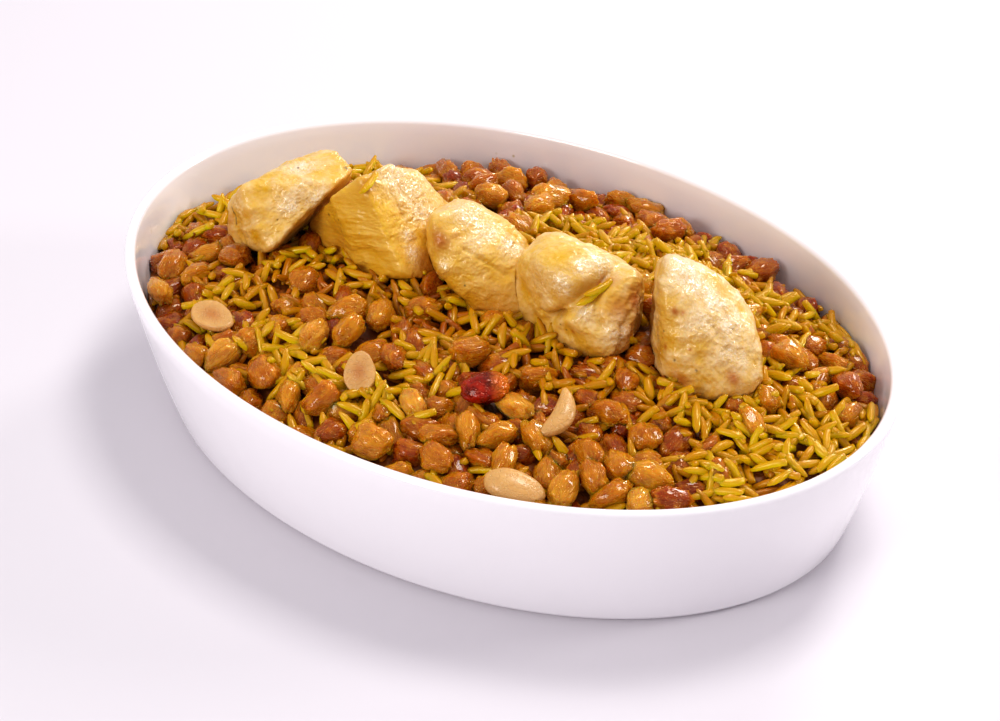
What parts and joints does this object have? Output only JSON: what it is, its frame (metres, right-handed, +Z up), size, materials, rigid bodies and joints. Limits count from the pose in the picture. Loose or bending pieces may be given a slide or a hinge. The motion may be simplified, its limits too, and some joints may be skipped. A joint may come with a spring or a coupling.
{
  "type": "oval dish of chicken and raisin rice",
  "caption": "Deep oval white porcelain dish filled with a mound of yellow rice and golden raisins, topped with a row of chicken pieces, almonds and a red dried fruit.",
  "frame": {"origin": "under the middle of the dish's base, at the level it stands on", "axes": "+Z up, +X along the dish's length towards the right, -Y towards the front"},
  "size_m": [0.3292, 0.2334, 0.0977],
  "materials": {
    "porcelain": "smooth glossy white glaze",
    "rice": "moist saffron-yellow cooked rice with translucent amber raisins",
    "raisin": "wrinkled translucent golden raisins with a sticky sheen",
    "chicken": "moist cooked chicken, pale cream with yellow stains",
    "almond": "blanched almond, lightly toasted",
    "red_fruit": "wrinkled glossy dark red dried fruit"
  },
  "bodies": {
    "root": {"dish": "porcelain", "rice_and_raisins": "rice", "chicken_1": "chicken", "chicken_2": "chicken", "chicken_3": "chicken", "chicken_4": "chicken", "chicken_5": "chicken", "almond_half_1": "almond", "almond_half_2": "almond", "almond_sliver": "almond", "almond_whole": "almond", "red_fruit": "red_fruit"}
  },
  "joints": []
}
